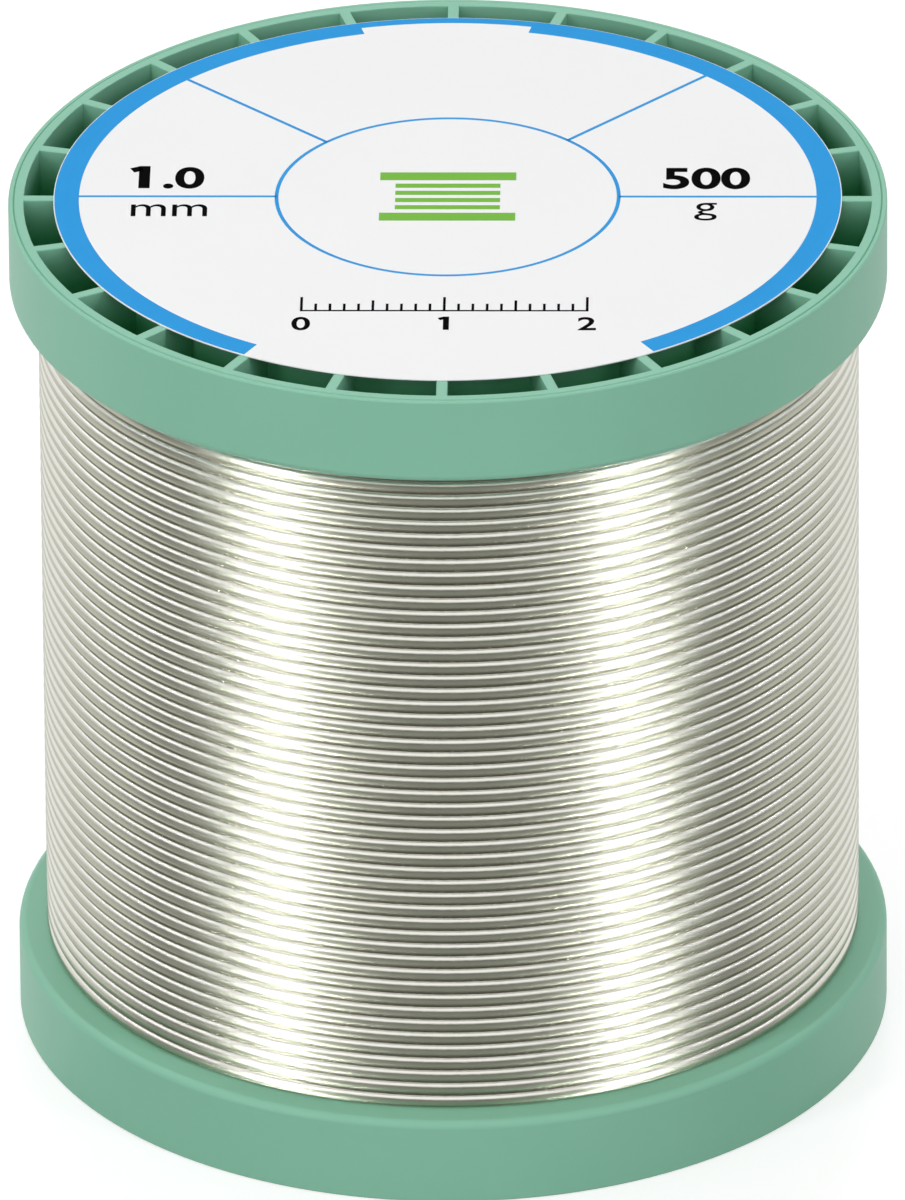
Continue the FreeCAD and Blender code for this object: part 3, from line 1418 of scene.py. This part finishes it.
@dataclass
class Studio:
    """Camera, lamps, floor and surroundings."""

    aim: Vector
    camera_aim: Triple = (0.129 * MM, 0.0, 31.65 * MM)
    camera_distance: float = 2.0
    camera_azimuth: float = 1.0
    camera_elevation: float = 28.14
    camera_roll: float = math.radians(-0.427)
    lens: float = 844.68
    sensor_width: float = 36.0
    camera_reach: Span = (0.1, 20.0)
    fill_strength: float = 0.12
    front_tone: float = 0.17
    front_reach: Span = (-0.15, 0.65)
    floor_size: float = 6.0
    softboxes: tuple[Softbox, ...] = (
        Softbox("front_top", -4.0, 58.0, 0.9, 0.95, 1.25, 1.12),
        Softbox("left_strip", -49.5, 20.0, 0.9, 0.09, 0.72, 12.5),
        Softbox("right_strip", 50.4, 20.0, 0.9, 0.09, 0.72, 10.3),
        Softbox("left_top", -112.0, 45.0, 1.0, 1.05, 0.55, 1.3),
        Softbox("right_top", 112.0, 45.0, 1.0, 1.05, 0.55, 0.58),
        Softbox("back_top", 180.0, 50.0, 1.0, 1.1, 0.6, 1.2),
    )
    glint_colour: Colour = (0.93, 0.965, 1.0)
    glints: tuple[Softbox, ...] = (
        Softbox("left_low_glint", -50.0, -30.0, 0.9, 0.09, 1.1, 18.4),
        Softbox("right_low_glint", 50.0, -30.0, 0.9, 0.09, 1.1, 17.2),
        Softbox("left_high_glint", -50.0, 12.0, 0.9, 0.09, 0.8, 3.0),
        Softbox("right_high_glint", 50.7, 12.0, 0.9, 0.09, 0.8, 5.5),
        Softbox("left_glow", -100.0, 50.0, 0.9, 0.7, 0.5, 0.3),
        Softbox("right_glow", 96.0, 50.0, 0.9, 0.7, 0.5, 0.72),
    )

    def set_up(self) -> None:
        """Build the whole studio."""
        self._place_camera()
        for softbox in self.softboxes:
            softbox.hang(self.aim, self.camera_azimuth)
        self._light_world()
        self._lay_floor()
        bpy.context.scene.view_settings.view_transform = "Standard"

    def glint_on(self, metal: Piece) -> None:
        """Hang the lamps that only the wire shows, for the bright table top and walls that it mirrors.

        Args:
            metal: The wire.
        """
        shown_on = bpy.data.collections.new("mirrors_the_table")
        shown_on.objects.link(metal)
        for glint in self.glints:
            lamp = glint.hang(self.aim, self.camera_azimuth)
            lamp.data.color = self.glint_colour
            lamp.data.cycles.use_multiple_importance_sampling = False
            lamp.light_linking.receiver_collection = shown_on
            lamp.light_linking.blocker_collection = shown_on

    def _place_camera(self) -> None:
        """Put the camera where the photograph was taken from."""
        data = bpy.data.cameras.new("photo_camera")
        data.lens = self.lens
        data.sensor_width = self.sensor_width
        data.clip_start, data.clip_end = self.camera_reach
        camera = bpy.data.objects.new("photo_camera", data)
        bpy.context.scene.collection.objects.link(camera)
        back = direction_to(self.camera_azimuth, self.camera_elevation)
        right = direction_to(self.camera_azimuth + 90.0, 0.0)
        up = back.cross(right)
        along, over = math.cos(self.camera_roll), math.sin(self.camera_roll)
        turned = Matrix((right * along + up * over, up * along - right * over, back)).transposed().to_4x4()
        camera.matrix_world = Matrix.Translation(Vector(self.camera_aim) + back * self.camera_distance) @ turned
        bpy.context.scene.camera = camera

    def _light_world(self) -> None:
        """Light evenly from all round, and show white walls, which are darker in a mirror towards the front."""
        world = bpy.data.worlds.new("studio")
        world.use_nodes = True
        board = Board(world.node_tree)
        towards_back = board.coordinate(board.add("TexCoord").outputs["Generated"], 1)
        tone = front_shade(board, towards_back, self.front_reach, self.front_tone)
        fill = board.add("Background", {"Color": WHITE, "Strength": self.fill_strength})
        walls = board.add("Background", {"Color": WHITE, "Strength": tone})
        mix = board.add("MixShader", {0: seen_directly(board), 1: fill.outputs[0], 2: walls.outputs[0]})
        board.add("OutputWorld", {0: mix.outputs[0]})
        bpy.context.scene.world = world

    def _lay_floor(self) -> None:
        """Lay the pale floor."""
        clear_bench()
        bpy.ops.mesh.primitive_plane_add(size=self.floor_size, location=(0, 0, 0))
        floor = new_piece("studio_floor")
        floor.data.materials.append(PaleFloor().build())


# ---- Spool ----


@dataclass(frozen=True)
class SpoolFrame:
    """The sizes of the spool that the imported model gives."""

    flange_radius: float
    flange_thickness: float
    spool_height: float
    bore_radius: float
    core_radius: float
    winding_radius: float
    upper_web: float
    tail_bottom: float
    label_radius: float
    label_bottom: float
    label_top: float

    @classmethod
    def measured(cls) -> "SpoolFrame":
        """Read the sizes from the frame's nodes and its record.

        Returns:
            The sizes.
        """
        lower_low, lower_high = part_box("lower_spool_half")
        _, upper_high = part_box("upper_spool_half")
        core_low, core_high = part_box("inner_wire_layers")
        wire_low, wire_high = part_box("outer_wire_layer")
        label_low, label_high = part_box("label")
        mounts = {mount["name"]: mount for mount in frame["record"]["mounts"]}
        return cls(
            flange_radius=min(lower_high.x, lower_high.y, -lower_low.x, -lower_low.y),
            flange_thickness=core_low.z,
            spool_height=upper_high.z,
            bore_radius=mounts["spindle_bore"]["dims"]["r_mm"] * MM,
            core_radius=core_high.x,
            winding_radius=wire_high.x,
            upper_web=core_high.z,
            tail_bottom=wire_low.z,
            label_radius=label_high.x,
            label_bottom=label_low.z,
            label_top=label_high.z,
        )

    @property
    def wire_diameter(self) -> float:
        """Diameter of the wire."""
        return round(self.winding_radius - self.core_radius, 5)

    @property
    def layer_radius(self) -> float:
        """Radius of the outer layer's middle line."""
        return self.core_radius + self.wire_diameter / 2


@dataclass
class SolderSpool:
    """The whole spool, built piece by piece on the frame."""

    sizes: SpoolFrame
    studio: Studio
    flux_share: float = 0.4
    wire_sides: int = 12
    flux_sides: int = 8
    wire_steps: int = 144
    flux_steps: int = 96

    def build_moulding(self) -> None:
        """Mould both halves of the spool."""
        plastic = MouldedPlastic().build()
        nodes = {HalfKind.LOWER: "lower_spool_half", HalfKind.UPPER: "upper_spool_half"}
        for kind, node in nodes.items():
            half = SpoolHalf(
                kind=kind,
                flange_radius=self.sizes.flange_radius,
                flange_thickness=self.sizes.flange_thickness,
                spool_height=self.sizes.spool_height,
                bore_radius=self.sizes.bore_radius,
                layer_radius=self.sizes.layer_radius,
            )
            fit_piece(half.build(), plastic, "spool_plastic", node)

    def build_wire(self) -> None:
        """Wind the wire with its flux, and dress the layers under it."""
        winding = Winding(
            layer_radius=self.sizes.layer_radius,
            wire_diameter=self.sizes.wire_diameter,
            lower_web=self.sizes.flange_thickness,
            upper_web=self.sizes.upper_web,
            tail_bottom=self.sizes.tail_bottom,
        )
        wire_radius = self.sizes.wire_diameter / 2
        wire = winding.build("wound_wire", wire_radius, self.wire_sides, self.wire_steps)
        fit_piece(wire, DrawnSolder().build(), "solder_metal", "outer_wire_layer")
        self.studio.glint_on(wire)
        flux = winding.build("flux_thread", wire_radius * self.flux_share, self.flux_sides, self.flux_steps)
        fit_piece(flux, FLUX_RESIN.build(), "flux_resin", "flux_core")
        core = frame["nodes"]["inner_wire_layers"]
        for slot in core.material_slots:
            slot.material = UNDER_LAYERS.build()
        log.info("inner_wire_layers: dressed")

    def build_label(self) -> None:
        """Cut and print the label."""
        label = PaperLabel(self.sizes.label_radius, self.sizes.label_bottom, self.sizes.label_top)
        fit_piece(label.build_paper(), LABEL_PAPER.build(), "label_paper", "label")
        prints = (label.build_blue_print, label.build_black_print, label.build_green_print)
        for build_print, ink in zip(prints, (BLUE_INK, BLACK_INK, GREEN_INK)):
            fit_piece(build_print(), ink.build(), "label_paper")


def main() -> None:
    """Build the spool and its studio."""
    logging.basicConfig(level=logging.INFO, format="%(name)s: %(message)s")
    sizes = SpoolFrame.measured()
    studio = Studio(aim=Vector((0, 0, sizes.spool_height / 2)))
    studio.set_up()
    spool = SolderSpool(sizes, studio)
    spool.build_moulding()
    spool.build_wire()
    spool.build_label()


if __name__ == "__main__":
    main()
